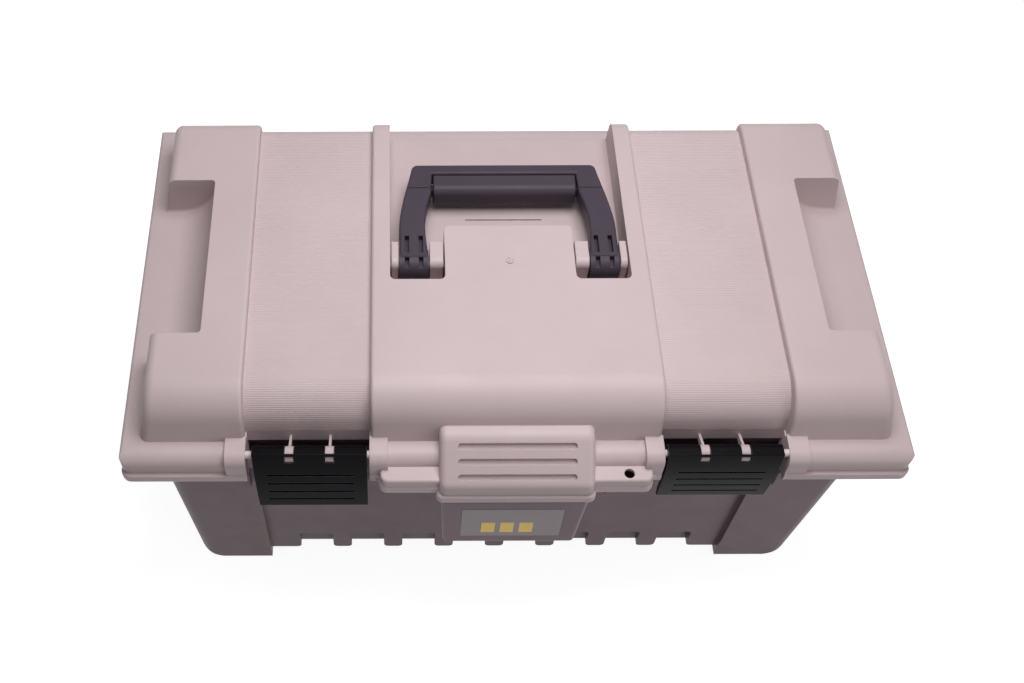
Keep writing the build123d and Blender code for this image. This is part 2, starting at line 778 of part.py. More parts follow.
def tab_notches(grow):
    """The notches along the lower front edge: they leave a row of tabs with rounded corners."""
    low = foot_height + grow
    high = tab_top + grow
    back = tub_front(tab_top) + recess_depth + tab_depth + grow
    with BuildPart() as notches:
        with BuildSketch(Plane.XZ.offset(-back)) as view:
            Rectangle(2 * (foot_inner + grow), 2 * low)
            with GridLocations(tab_pitch, 0, tab_count + 1, 1):
                Rectangle(tab_pitch - tab_width + 2 * grow, 2 * high)
            corners = view.vertices().filter_by_position(Axis.Y, high - edge_reach, high + edge_reach)
            fillet(corners, radius=tab_round + grow)
            feet = view.vertices().filter_by_position(Axis.Y, low - edge_reach, low + edge_reach)
            fillet([v for v in feet if abs(v.X) < foot_inner - 1], radius=max(tab_round - grow, least_round))
        extrude(amount=far)
    return notches.part


def tub_hollows(grow):
    """What is taken off the tub outside: face recesses, the space between the feet and the notches."""
    half = foot_inner + grow
    high = recess_top + grow
    front = [(-far, -far), (tub_front(-far) + recess_depth + grow, -far),
             (tub_front(high) + recess_depth + grow, high), (-far, high)]
    back = [(far, -far), (far, high), (tub_back(high) - recess_depth - grow, high),
            (tub_back(-far) - recess_depth - grow, -far)]
    hollows = side_prism(-half, half, front) + side_prism(-half, half, back)
    hollows += box_between((-far, tub_front_low + foot_depth - grow, -far),
                           (far, tub_back_low - foot_depth + grow, foot_height + grow))
    return hollows + space_between_feet(grow) + tab_notches(grow)


def base_rim():
    """The channel round the base's opening, as a filled solid, cut back behind the latches."""
    rim = rolled_slab(rim_half, rim_front, rim_back, rim_lip_bottom, rim_top, rim_corner - wall - rim_gap,
                      rim_round, least_round)
    return rim - both_sides(rim_cut(0))


def rim_cut(grow):
    """Room in the base's rim for the lid wall behind the right latch, back to the tub's own wall."""
    side = ear_cheek + latch_wall_gap + grow
    return box_between((bay_inner - side, -far, 0),
                       (bay_outer + side, tub_front(rim_top) + wall / 2, rim_top + wall))


def rim_void():
    """The open underside of the rim channel, between its down-lip and the tub."""
    void = rolled_slab(rim_half - wall, rim_front + wall, rim_back - wall, rim_lip_bottom - 1,
                       rim_top - wall, rim_corner - 2 * wall - rim_gap, rim_round - wall, least_round)
    return void - tub_form(0) - both_sides(rim_cut(wall))


def hasp_block(inset):
    """The block below the hasp cover, moved inwards by inset."""
    inner = tub_front(hasp_bottom) + recess_depth + wall + inset
    with BuildPart() as block:
        with BuildSketch(Plane.XZ.offset(-inner)):
            with BuildLine():
                Polyline(
                    (-hasp_half_low + inset, hasp_bottom + inset), (-hasp_half + inset, hasp_top - inset),
                    (hasp_half - inset, hasp_top - inset), (hasp_half_low - inset, hasp_bottom + inset),
                    close=True,
                )
            make_face()
        extrude(amount=inner - hasp_front - inset)
        if inset == 0:
            front = block.faces().sort_by(Axis.Y)[0]
            fillet(front.edges() + block.edges().filter_by(Axis.Y), radius=hasp_round)
    return block.part


def latch_pod(inset):
    """The hollow block that carries the nose of the right latch, moved inwards by inset."""
    high = lip_bottom - pod_top_gap - inset
    inner = tub_front(pod_bottom) + recess_depth + wall + inset
    start = bay_inner - pod_cheek_inner + inset
    end = bay_outer + pod_cheek_outer - inset

    def outline(front):
        return [(inner, high), (front, high), (front, pod_bottom + inset), (inner, pod_bottom - pod_slope
                                                                          + inset)]

    pod = side_prism(start, end, outline(pod_front + inset))
    if inset == 0:
        pod += side_prism(start, bay_inner, outline(pod_cheek_front))
        pod += side_prism(bay_outer, end, outline(pod_cheek_front))
    drawn_in = Plane.XZ * Polygon((end, high + 1), (end + far, high + 1), (end + far, 0),
                                  (end - 2 * pod_taper, high - 2 * (pod_slope + lip_bottom - pod_bottom)),
                                  align=None)
    return pod - extrude(drawn_in, amount=far, both=True)


def latch_nose():
    """The catch nose that the right latch hooks under."""
    low = latch_axis_z - latch_hook_r + nose_gap
    front = latch_axis_y - nose_proud
    return side_prism(latch_middle_x - nose_half, latch_middle_x + nose_half, [
        (pod_front + wall / 2, low), (front, low), (front, low + nose_height / 2),
        (pod_front + wall / 2, low + nose_height + wall / 2),
    ])


def hinge_brackets():
    """The base's hinge knuckles with their brackets, right-hand group."""
    start = tub_back(hinge_axis_z) - recess_depth - wall / 2
    high = hinge_axis_z + hinge_bracket_rise
    end = hinge_axis_y - hinge_barrel_r - wall
    brackets = Part()
    for low_x, high_x in knuckles(0, (hinge_knuckle_count + 1) // 2):
        body = side_prism(low_x, high_x, [
            (start, hinge_axis_z - hinge_gusset), (start, high), (hinge_axis_y, high),
            (hinge_axis_y, hinge_axis_z - hinge_bracket_rise), (end, hinge_axis_z - hinge_bracket_rise),
        ])
        pocket = box_between((low_x + wall, tub_back(hinge_axis_z), 0), (high_x - wall, end, high - wall))
        barrel = rod_along_x(hinge_barrel_r, low_x, high_x, hinge_axis_y, hinge_axis_z)
        brackets += body - pocket + barrel
    return brackets


def base_form():
    """The finished base shell."""
    tab_back = tub_front(lip_bottom) + wall / 2
    tab_low = (padlock_x - padlock_tab_half, padlock_y - padlock_tab_reach,
               lip_bottom - padlock_tab_gap - padlock_tab_thick)
    tab = box_between(tab_low, (bay_inner - pod_cheek_inner + wall, tab_back, lip_bottom - padlock_tab_gap))
    outer = tub_form(0) - tub_hollows(0)
    outer += base_rim() + both_sides(latch_pod(0) + latch_nose() + hinge_brackets()) + hasp_block(0) + tab
    air = tub_form(wall) - tub_hollows(wall)
    shell = outer - air - hasp_block(wall) - both_sides(latch_pod(wall)) - rim_void()
    ledge_top = tray_floor_z - tray_rest_gap
    ledge_outer = tub_half(ledge_top) - wall / 2
    ledge = box_between((tub_half(ledge_top) - wall - tray_ledge, tray_middle - tray_ledge_half,
                         ledge_top - tray_ledge_thick),
                        (ledge_outer, tray_middle + tray_ledge_half, ledge_top))
    shell += both_sides(ledge)
    holes = rod_along_x(hinge_rod_r + running, hinge_middle_x - hinge_pitch * hinge_knuckle_count / 2,
                        hinge_middle_x + hinge_pitch * hinge_knuckle_count / 2, hinge_axis_y, hinge_axis_z)
    shell -= both_sides(holes)
    shell -= Pos(padlock_x, padlock_y, lip_bottom) * Cylinder(padlock_hole_r, 4 * padlock_tab_thick)
    seat = box_between((-label_half - label_seat_gap, hasp_front - 1, label_low - label_seat_gap),
                       (label_half + label_seat_gap, hasp_front + label_seat,
                        label_low + label_height + label_seat_gap))
    return shell - seat


base_shell = base_form()
base_shell.label = "base_shell"
export_step(base_shell, "parts/base_shell.step")


def latch_face(v):
    """How far the latch's bowed face lies behind its axis (in front is negative), at height v from it."""
    rise = v + latch_bow_drop
    if rise > 0:
        return (latch_bow - latch_brow) * (rise / (latch_roll_r + latch_bow_drop))**2 - latch_bow
    return latch_draw * (rise / (latch_reach - latch_bow_drop))**2 - latch_bow


def latch_body():
    """The bowed plate with the roll round the rod and a level top."""
    heights = [latch_roll_r, 0, -latch_bow_drop, -(latch_bow_drop + latch_reach) / 2, -latch_reach]
    face = [(latch_face(v), v) for v in heights]
    inner = [(latch_face(v) + latch_plate, v) for v in reversed(heights[1:])]
    with BuildPart() as body:
        with BuildSketch(Plane.YZ.offset(latch_inner)) as side:
            with BuildLine():
                Line((0, latch_roll_r), face[0])
                Spline(*face)
                Line(face[-1], inner[0])
                Spline(*inner)
                Line(inner[-1], (0, latch_roll_r))
            make_face()
            Circle(latch_roll_r)
            fillet(side.vertices().sort_by_distance((face[0][0], face[0][1], 0))[0], radius=latch_brow_round)
            fillet(side.vertices().sort_by_distance((face[-1][0], face[-1][1], 0))[0],
                   radius=latch_edge_round)
        extrude(amount=latch_width)
    return body.part


def latch_sides():
    """The two cheeks and the hook that catches the nose, all behind the face."""
    low = latch_cheek_low - latch_reach
    front = -latch_bow + latch_plate / 2
    cheek_side = [(front, -latch_roll_r), (front + latch_cheek_depth, -latch_roll_r),
                  (front + latch_cheek_depth, low), (front, low)]
    cheeks = side_prism(latch_inner, latch_inner + latch_cheek, cheek_side)
    cheeks += side_prism(latch_outer - latch_cheek - latch_taper, latch_outer, cheek_side)

    def on_arc(u):
        return (u, -sqrt(latch_hook_r**2 - u**2))

    with BuildPart() as hook:
        with BuildSketch(Plane.YZ.offset(latch_middle_x - latch_hook_half)):
            with BuildLine():
                start = on_arc(front)
                end = on_arc(-latch_hook_tip)
                ThreePointArc(start, on_arc((start[0] + end[0]) / 2), end)
                Polyline(end, (end[0], end[1] - latch_cheek), (start[0], low), start)
            make_face()
        extrude(amount=2 * latch_hook_half)
    return cheeks + hook.part


def latch_form():
    """A latch in its own frame: origin on its axis, hooked position, right-hand side of the box."""
    latch = latch_body() + latch_sides()
    low = -latch_reach - 1
    high = latch_roll_r + 1
    taper = Plane.XZ * Polygon((latch_outer, high), (latch_outer + far, high), (latch_outer + far, low),
                               (latch_outer - latch_taper, low), align=None)
    latch -= extrude(taper, amount=far, both=True)
    latch -= rod_along_x(latch_rod_r + running, latch_inner - 1, latch_outer + 1, 0, 0)
    for middle in (latch_middle_x - hook_rib_offset, latch_middle_x + hook_rib_offset):
        low_x, high_x = middle - latch_notch / 2, middle + latch_notch / 2
        notch_front = latch_notch_brow - latch_brow
        latch -= box_between((low_x, notch_front, -latch_notch_low), (high_x, 2 * latch_roll_r, high))
        latch -= box_between((low_x, 0, -high), (high_x, 2 * latch_roll_r, 0))
        latch -= box_between((low_x, -2 * latch_bow, latch_window_low),
                             (high_x, latch_window_depth - latch_bow, latch_window_high))
        latch -= rod_along_x(hook_ring_r + latch_ring_gap, low_x, high_x, 0, 0)
    for i in range(latch_groove_count):
        v = -latch_groove_first - i * latch_groove_pitch
        latch -= box_between((latch_middle_x - latch_groove_half, -far, v - latch_groove_width / 2),
                             (latch_middle_x + latch_groove_half, latch_face(v) + latch_groove_depth,
                              v + latch_groove_width / 2))
    return latch


latch_right = Pos(0, latch_axis_y, latch_axis_z) * Rot(-latch_right_ajar, 0, 0) * latch_form()
latch_right.label = "latch_right"
export_step(latch_right, "parts/latch_right.step")
latch_left = Pos(0, latch_axis_y, latch_axis_z) * Rot(-latch_left_ajar, 0, 0) * latch_form().mirror(Plane.YZ)
latch_left.label = "latch_left"
export_step(latch_left, "parts/latch_left.step")

latch_rod_right = rod_along_x(latch_rod_r, bay_inner - rod_socket + rod_end_gap,
                              bay_outer + rod_socket - rod_end_gap, latch_axis_y, latch_axis_z)
latch_rod_right.label = "latch_rod_right"
export_step(latch_rod_right, "parts/latch_rod_right.step")
latch_rod_left = latch_rod_right.mirror(Plane.YZ)
latch_rod_left.label = "latch_rod_left"
export_step(latch_rod_left, "parts/latch_rod_left.step")


def handle_plate():
    """The two arms and the far bar of the handle, in one plate."""
    low = handle_axis_z - handle_below
    high = box_height - handle_top_gap
    side_gap = grip_half + grip_bar_gap
    outer = [(handle_outer_half, handle_axis_y), (handle_outer_half, arm_bend),
             (handle_outer_half - arm_draw_outer, arm_middle), (handle_corner_half + arm_far_out, arm_far),
             (handle_corner_half, handle_back)]
    inner = [(handle_inner_half, handle_axis_y), (handle_inner_half + arm_draw_inner, arm_bend),
             (handle_inner_half + arm_draw_middle, arm_middle), (side_gap + grip_flare, grip_front_y),
             (side_gap, handle_back - handle_bar)]
    with BuildPart() as plate:
        with BuildSketch(Plane.XY.offset(low)) as plan:
            with BuildLine():
                Polyline(outer[0], outer[1])
                Spline(*outer[1:])
                Polyline(outer[-1], (-outer[-1][0], outer[-1][1]))
                Spline(*[(-x, y) for x, y in reversed(outer[1:])])
                Polyline((-outer[1][0], outer[1][1]), (-outer[0][0], outer[0][1]),
                         (-inner[0][0], inner[0][1]), (-inner[1][0], inner[1][1]))
                Spline(*[(-x, y) for x, y in inner[1:4]])
                Polyline((-inner[3][0], inner[3][1]), (-inner[4][0], inner[4][1]), inner[4], inner[3])
                Spline(*reversed(inner[1:4]))
                Polyline(inner[1], inner[0], outer[0])
            make_face()
            fillet(plan.vertices().group_by(Axis.Y)[-1], radius=handle_corner_round)
        extrude(amount=high - low)
        rims = plate.edges().group_by(Axis.Z)
        foot = plate.edges().filter_by_position(Axis.Y, handle_axis_y - edge_reach,
                                                handle_axis_y + edge_reach)
        fillet([e for e in rims[0] + rims[-1] if e not in foot], radius=handle_round)
    return plate.part


def handle_frame_form():
    """The folding handle: two arms, the far bar and a core through the grip."""
    high = box_height - handle_top_gap
    frame = handle_plate()
    frame += both_sides(rod_along_x(handle_knuckle_r, handle_inner_half, handle_outer_half,
                                    handle_axis_y, handle_axis_z))
    core_y, core_z = grip_front_y + grip_bar_depth / 2, high - grip_bar_height / 2
    core_half = grip_half + grip_core_root
    frame += box_between((-core_half, core_y - grip_core_depth / 2, core_z - grip_core_height / 2),
                         (core_half, core_y + grip_core_depth / 2, core_z + grip_core_height / 2))
    frame -= both_sides(rod_along_x(handle_pin_r + running, handle_inner_half - 1, handle_outer_half + 1,
                                    handle_axis_y, handle_axis_z))
    arm_x = (handle_inner_half + handle_outer_half) / 2
    slot_low = high - handle_slot_depth
    for x in (arm_x - handle_slot_spread, arm_x + handle_slot_spread):
        low_x, high_x = x - handle_slot_width / 2, x + handle_slot_width / 2
        frame -= both_sides(box_between((low_x, handle_slot_start, slot_low),
                                        (high_x, handle_slot_start + handle_slot_length, high + 1)))
        frame -= both_sides(box_between((low_x, -handle_notch_front, slot_low),
                                        (high_x, -handle_notch_back, high + 1)))
    seam_y = handle_back - handle_seam_back
    return frame - box_between((-far, seam_y, high - handle_seam), (far, seam_y + handle_seam, high + 1))


def handle_grip_form():
    """The grip over the handle's core: well rounded in front, nearly square behind."""
    high = box_height - handle_top_gap - grip_drop
    core_z = box_height - handle_top_gap - grip_bar_height / 2
    middle = grip_front_y + grip_bar_depth / 2
    with BuildPart() as grip:
        with BuildSketch(Plane.YZ.offset(-grip_half)) as side:
            with Locations((middle, high - grip_bar_height / 2)):
                Rectangle(grip_bar_depth, grip_bar_height)
            fillet(side.vertices().group_by(Axis.X)[0], radius=grip_bar_round)
            fillet(side.vertices().group_by(Axis.X)[-1], radius=grip_back_round)
        extrude(amount=2 * grip_half)
        fillet(grip.faces().filter_by(Axis.X).edges(), radius=grip_end_round)
        with BuildSketch(Plane.YZ.offset(-grip_half)):
            with Locations((middle, core_z)):
                Rectangle(grip_core_depth + 2 * grip_core_gap, grip_core_height + 2 * grip_core_gap)
        extrude(amount=2 * grip_half, mode=Mode.SUBTRACT)
    return grip.part


handle_frame = handle_frame_form()
handle_frame.label = "handle_frame"
export_step(handle_frame, "parts/handle_frame.step")
handle_grip = handle_grip_form()
handle_grip.label = "handle_grip"
export_step(handle_grip, "parts/handle_grip.step")

handle_pin_right = rod_along_x(handle_pin_r, tongue_half + rod_end_gap, well_half + wall / 2 - rod_end_gap,
                               handle_axis_y, handle_axis_z)
handle_pin_right.label = "handle_pin_right"
export_step(handle_pin_right, "parts/handle_pin_right.step")
handle_pin_left = handle_pin_right.mirror(Plane.YZ)
handle_pin_left.label = "handle_pin_left"
export_step(handle_pin_left, "parts/handle_pin_left.step")

label_plate = box_between((-label_half, hasp_front + label_seat - label_thick, label_low),
                          (label_half, hasp_front + label_seat, label_low + label_height))
label_plate.label = "label_plate"
export_step(label_plate, "parts/label_plate.step")

hinge_rod_right = rod_along_x(hinge_rod_r, hinge_middle_x - hinge_pitch * hinge_knuckle_count / 2 + 1,
                              hinge_middle_x + hinge_pitch * hinge_knuckle_count / 2 - 1,
                              hinge_axis_y, hinge_axis_z)
hinge_rod_right.label = "hinge_rod_right"
export_step(hinge_rod_right, "parts/hinge_rod_right.step")
hinge_rod_left = hinge_rod_right.mirror(Plane.YZ)
hinge_rod_left.label = "hinge_rod_left"
export_step(hinge_rod_left, "parts/hinge_rod_left.step")


def tray_form():
    """The lift-out tray: an open box with a middle bay, guides for the dividers and two bail posts."""
    half, front, back = tray_half, tray_middle - tray_depth / 2, tray_middle + tray_depth / 2
    with BuildPart() as tray:
        extrude(level_plan(half, front, back, tray_corner, tray_floor_z), amount=tray_height)
        extrude(level_plan(half - tray_wall, front + tray_wall, back - tray_wall, tray_corner - tray_wall,
                           tray_floor_z + tray_wall), amount=tray_height, mode=Mode.SUBTRACT)
    shell = tray.part
    low, high = tray_floor_z + tray_wall / 2, tray_floor_z + tray_height
    bay_front = tray_bay_middle - tray_bay / 2
    bay_back = tray_bay_middle + tray_bay / 2
    inside = half - tray_wall / 2
    shell += box_between((-inside, bay_front - tray_wall, low), (inside, bay_front, high))
    shell += box_between((-inside, bay_back, low), (inside, bay_back + tray_wall, high))
    guide_top = high - divider_drop
    bays = [(front + tray_wall, bay_front - tray_wall), (bay_back + tray_wall, back - tray_wall)]
    for i in range(divider_count):
        x = (i - (divider_count - 1) / 2) * divider_pitch
        slot = divider_thick / 2 + divider_gap
        for bay_low, bay_high in bays:
            for side_x in (x - slot - divider_guide, x + slot):
                for y0, y1 in ((bay_low - tray_wall / 2, bay_low + divider_guide),
                               (bay_high - divider_guide, bay_high + tray_wall / 2)):
                    shell += box_between((side_x, y0, low), (side_x + divider_guide, y1, guide_top))
    post_x = tray_bail_half + tray_bail_r + tray_post_gap
    post = box_between((post_x, tray_bail_axis_y - tray_post_half, low),
                       (post_x + tray_post, tray_bail_axis_y + tray_post_half,
                        tray_bail_axis_z + tray_post_half))
    post -= rod_along_x(tray_bail_pin_r + running, post_x - 1, post_x + far, tray_bail_axis_y,
                        tray_bail_axis_z)
    return shell + both_sides(post)


def tray_bail():
    """The tray's folding handle, lying back."""
    y, z = tray_bail_axis_y, tray_bail_axis_z
    arm = Pos(tray_bail_half, y + tray_bail_reach / 2, z) * Rot(90, 0, 0) * Cylinder(tray_bail_r,
                                                                                    tray_bail_reach)
    arm += Pos(tray_bail_half, y, z) * Sphere(tray_bail_r)
    arm += Pos(tray_bail_half, y + tray_bail_reach, z) * Sphere(tray_bail_r)
    arm += rod_along_x(tray_bail_pin_r, tray_bail_half, tray_bail_half + tray_bail_pin, y, z)
    bail = both_sides(arm)
    bail += rod_along_x(tray_bail_r, -tray_bail_half, tray_bail_half, y + tray_bail_reach, z)
    return bail + rod_along_x(tray_bail_grip_r, -tray_bail_grip_half, tray_bail_grip_half,
                              y + tray_bail_reach, z)


tray_shell = tray_form()
tray_shell.label = "tray_shell"
export_step(tray_shell, "parts/tray_shell.step")
tray_handle = tray_bail()
tray_handle.label = "tray_handle"
export_step(tray_handle, "parts/tray_handle.step")

# Dividers: the front bay first, each bay from left to right
divider_bays = [
    (tray_middle - tray_depth / 2 + tray_wall, tray_bay_middle - tray_bay / 2 - tray_wall),
    (tray_bay_middle + tray_bay / 2 + tray_wall, tray_middle + tray_depth / 2 - tray_wall),
]
for row, (bay_low, bay_high) in enumerate(divider_bays):
    for column in range(divider_count):
        x = (column - (divider_count - 1) / 2) * divider_pitch
        divider = box_between(
            (x - divider_thick / 2, bay_low + divider_gap, tray_floor_z + tray_wall + divider_gap),
            (x + divider_thick / 2, bay_high - divider_gap, tray_floor_z + tray_height - divider_drop),
        )
        divider.label = f"tray_divider_{row * divider_count + column + 1}"
        export_step(divider, f"parts/{divider.label}.step")
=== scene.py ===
"""Looks of a moulded tackle box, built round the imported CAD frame."""

import logging
import math
from dataclasses import dataclass
from enum import Enum

import bpy
from mathutils import Matrix, Vector


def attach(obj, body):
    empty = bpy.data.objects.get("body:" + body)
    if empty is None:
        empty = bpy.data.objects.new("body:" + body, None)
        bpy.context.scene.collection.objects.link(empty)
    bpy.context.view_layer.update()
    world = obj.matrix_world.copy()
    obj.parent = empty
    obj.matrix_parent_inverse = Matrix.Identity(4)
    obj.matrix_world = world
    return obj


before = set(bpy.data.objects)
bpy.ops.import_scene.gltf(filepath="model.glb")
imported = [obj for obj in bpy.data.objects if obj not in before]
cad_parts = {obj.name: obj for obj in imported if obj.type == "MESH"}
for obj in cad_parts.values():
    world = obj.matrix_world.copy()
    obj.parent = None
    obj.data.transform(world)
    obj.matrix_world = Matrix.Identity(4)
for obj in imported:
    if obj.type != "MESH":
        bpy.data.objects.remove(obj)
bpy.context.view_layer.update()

LOG = logging.getLogger("tackle_box")
MM = 0.001
SMOOTH_BELOW = 32           # degrees between two faces that are shaded as one surface


def linear(hex_colour: str) -> tuple[float, float, float, float]:
    """Turns an sRGB hex colour into the linear colour that a shader socket takes.

    Args:
        hex_colour: Six hex digits after a hash, as a colour picker gives them.

    Returns:
        Linear red, green, blue and an alpha of one.
    """
    parts = [int(hex_colour[i:i + 2], 16) / 255 for i in (1, 3, 5)]
    curve = [p / 12.92 if p <= 0.04045 else ((p + 0.055) / 1.055) ** 2.4 for p in parts]
    return (curve[0], curve[1], curve[2], 1.0)


def add_node(tree: bpy.types.NodeTree, kind: str, settings: dict[str, object] | None = None,
             **inputs: object) -> bpy.types.Node:
    """Adds one shader node with its settings, values and links.

    Args:
        tree: The material's node tree.
        kind: Blender's type name of the node.
        settings: Properties of the node itself.
        **inputs: Socket names, with underscores for spaces, or in0, in1 for a socket's number. A socket
            is linked to, and anything else is set as the value.

    Returns:
        The new node.
    """
    node = tree.nodes.new(kind)
    for name, value in (settings or {}).items():
        setattr(node, name, value)
    for name, value in inputs.items():
        key = int(name[2:]) if name[:2] == "in" and name[2:].isdigit() else name.replace("_", " ")
        if isinstance(value, bpy.types.NodeSocket):
            tree.links.new(value, node.inputs[key])
        else:
            node.inputs[key].default_value = value
    return node


def calculate(tree: bpy.types.NodeTree, operation: str, *values: object) -> bpy.types.NodeSocket:
    """Adds one Math node.

    Args:
        tree: The material's node tree.
        operation: The node's operation.
        *values: Sockets or numbers, in the order of the node's inputs.

    Returns:
        The node's result.
    """
    inputs = {f"in{i}": value for i, value in enumerate(values)}
    return add_node(tree, "ShaderNodeMath", {"operation": operation}, **inputs).outputs[0]


@dataclass(frozen=True)
class MouldedPolypropylene:
    """Injection-moulded polypropylene: a dull sheen over a fine spark-eroded grain.

    The pigment clouds slightly where the melt flowed, use leaves faint scuffs and a few specks, and the
    edges, which no mould leaves quite sharp, are painted a little paler: a painted highlight, partly rubbed
    wear.
    """

    name: str
    colour: str
    cloud_colour: str
    # colour of scuffs and specks, and of the edges painted pale as a highlight, partly wear
    wear_and_highlight_colour: str
    roughness: float = 0.48
    specular: float = 0.4
    grain: float = 0.9 * MM         # the real grain is about 0.3 mm; this is as fine as the render shows
    grain_depth: float = 0.03 * MM
    cloud: float = 70 * MM
    edge: float = 0.7 * MM
    # how pale the edges are painted: a painted highlight, partly rubbed wear
    edge_highlight_and_wear: float = 0.35
    scuff: float = 0.10
    scuff_length: float = 28 * MM
    scuff_width: float = 1.1 * MM
    speck_spacing: float = 42 * MM
    speck_radius: float = 0.45 * MM
    speck: float = 0.35
    patch: float = 9 * MM           # the pale edges, painted highlight and wear, come and go over this length
    worn_duller: float = 0.3        # a fully worn spot is this much rougher
    handled: float = 0.35           # size of the handled patches, as a part of a pigment cloud
    dull_range: float = 0.05
    ior: float = 1.49

    def relief(self, tree: bpy.types.NodeTree, place: bpy.types.NodeSocket) -> bpy.types.NodeSocket:
        """Height of the moulded grain.

        Args:
            tree: The material's node tree.
            place: The piece's own coordinates in metres.

        Returns:
            A height in metres.
        """
        grain = add_node(tree, "ShaderNodeTexNoise", Vector=place, Scale=1 / self.grain, Detail=2.0,
                         Roughness=0.6)
        return calculate(tree, "MULTIPLY", grain.outputs["Fac"], self.grain_depth)

    def wear_and_highlight_amount(self, tree: bpy.types.NodeTree, place: bpy.types.NodeSocket,
               eased: bpy.types.NodeSocket) -> bpy.types.NodeSocket:
        """How far the surface is painted pale: along edges as a painted highlight and partly wear, in scuffs
        and in specks as wear.

        Args:
            tree: The material's node tree.
            place: The piece's own coordinates in metres.
            eased: The normal with its edges eased.

        Returns:
            Zero where the surface is as moulded, up to one where it is worn pale or its edge is painted pale
            as a highlight.
        """
        # Edges, found where the eased normal turns away, are painted paler: a painted highlight, partly wear.
        normal = add_node(tree, "ShaderNodeNewGeometry").outputs["Normal"]
        turned = add_node(tree, "ShaderNodeVectorMath", {"operation": "DOT_PRODUCT"}, in0=eased, in1=normal)
        edge = add_node(tree, "ShaderNodeMapRange", Value=turned.outputs["Value"], From_Min=0.99,
                        From_Max=0.80, To_Max=self.edge_highlight_and_wear)
        patchy = add_node(tree, "ShaderNodeTexNoise", Vector=place, Scale=1 / self.patch, Detail=3.0)
        edge_highlight_and_wear_mask = calculate(tree, "MULTIPLY", edge.outputs[0], patchy.outputs["Fac"])
        drawn = add_node(tree, "ShaderNodeMapping", Vector=place, Rotation=(0.2, 0.3, 0.5),
                         Scale=(1 / self.scuff_length, 1 / self.scuff_width, 1 / self.scuff_width))
        streak = add_node(tree, "ShaderNodeTexNoise", Vector=drawn.outputs[0], Scale=1.0, Detail=2.0)
        scuffed = add_node(tree, "ShaderNodeMapRange", Value=streak.outputs["Fac"], From_Min=0.64,
                           From_Max=0.74, To_Max=self.scuff)
        dots = add_node(tree, "ShaderNodeTexVoronoi", Vector=place, Scale=1 / self.speck_spacing)
        near = self.speck_radius / self.speck_spacing
        specks = add_node(tree, "ShaderNodeMapRange", Value=dots.outputs["Distance"], From_Min=1.6 * near,
                          From_Max=near, To_Max=self.speck)
        wear_and_highlight = calculate(tree, "MAXIMUM", edge_highlight_and_wear_mask, scuffed.outputs[0])
        return calculate(tree, "MAXIMUM", wear_and_highlight, specks.outputs[0])

    def material(self) -> bpy.types.Material:
        """Builds the finish.

        Returns:
            The new material.
        """
        made = bpy.data.materials.new(self.name)
        made.use_nodes = True
        tree = made.node_tree
        shader = tree.nodes["Principled BSDF"]
        place = add_node(tree, "ShaderNodeTexCoord").outputs["Object"]
        eased = add_node(tree, "ShaderNodeBevel", {"samples": 6}, Radius=self.edge).outputs[0]
        wear_and_highlight = self.wear_and_highlight_amount(tree, place, eased)
        cloud = add_node(tree, "ShaderNodeTexNoise", Vector=place, Scale=1 / self.cloud, Detail=3.0,
                         Roughness=0.55)
        blend = add_node(tree, "ShaderNodeMapRange", Value=cloud.outputs["Fac"], From_Min=0.35,
                         From_Max=0.65)
        tint = add_node(tree, "ShaderNodeMix", {"data_type": "RGBA"}, Factor=blend.outputs[0],
                        in6=linear(self.colour), in7=linear(self.cloud_colour))
        # Mixes in the pale colour: wear in scuffs and specks, and the painted highlight along edges.
        used = add_node(tree, "ShaderNodeMix", {"data_type": "RGBA"}, Factor=wear_and_highlight, in6=tint.outputs[2],
                        in7=linear(self.wear_and_highlight_colour))
        tree.links.new(used.outputs[2], shader.inputs["Base Color"])
        handled = add_node(tree, "ShaderNodeTexNoise", Vector=place, Scale=1 / (self.handled * self.cloud),
                           Detail=4.0, Roughness=0.65)
        dull = add_node(tree, "ShaderNodeMapRange", Value=handled.outputs["Fac"], From_Min=0.3,
                        From_Max=0.7, To_Min=self.roughness - self.dull_range,
                        To_Max=self.roughness + self.dull_range)
        roughness = calculate(tree, "MULTIPLY_ADD", wear_and_highlight, self.worn_duller, dull.outputs[0])
        tree.links.new(roughness, shader.inputs["Roughness"])
        bump = add_node(tree, "ShaderNodeBump", Height=self.relief(tree, place), Distance=1.0, Strength=1.0,
                        Normal=eased)
        tree.links.new(bump.outputs[0], shader.inputs["Normal"])
        shader.inputs["IOR"].default_value = self.ior
        shader.inputs["Specular IOR Level"].default_value = self.specular
        return made


@dataclass(frozen=True)
class DrawnSteel:
    """Bright drawn steel wire: smooth, with faint draw lines along its length."""

    name: str
    colour: str = "#C4C2BE"
    roughness: float = 0.28
    line: float = 0.4 * MM

    def material(self) -> bpy.types.Material:
        """Builds the finish.

        Returns:
            The new material.
        """
        made = bpy.data.materials.new(self.name)
        made.use_nodes = True
        tree = made.node_tree
        shader = tree.nodes["Principled BSDF"]
        shader.inputs["Base Color"].default_value = linear(self.colour)
        shader.inputs["Metallic"].default_value = 1.0
        place = add_node(tree, "ShaderNodeTexCoord").outputs["Object"]
        drawn = add_node(tree, "ShaderNodeMapping", Vector=place, Scale=(0.05, 1.0, 1.0))
        lines = add_node(tree, "ShaderNodeTexNoise", Vector=drawn.outputs[0], Scale=1 / self.line, Detail=2.0)
        dull = add_node(tree, "ShaderNodeMapRange", Value=lines.outputs["Fac"], To_Min=self.roughness - 0.08,
                        To_Max=self.roughness + 0.1)
        tree.links.new(dull.outputs[0], shader.inputs["Roughness"])
        bump = add_node(tree, "ShaderNodeBump", Height=lines.outputs["Fac"], Distance=0.01 * MM)
        tree.links.new(bump.outputs[0], shader.inputs["Normal"])
        return made


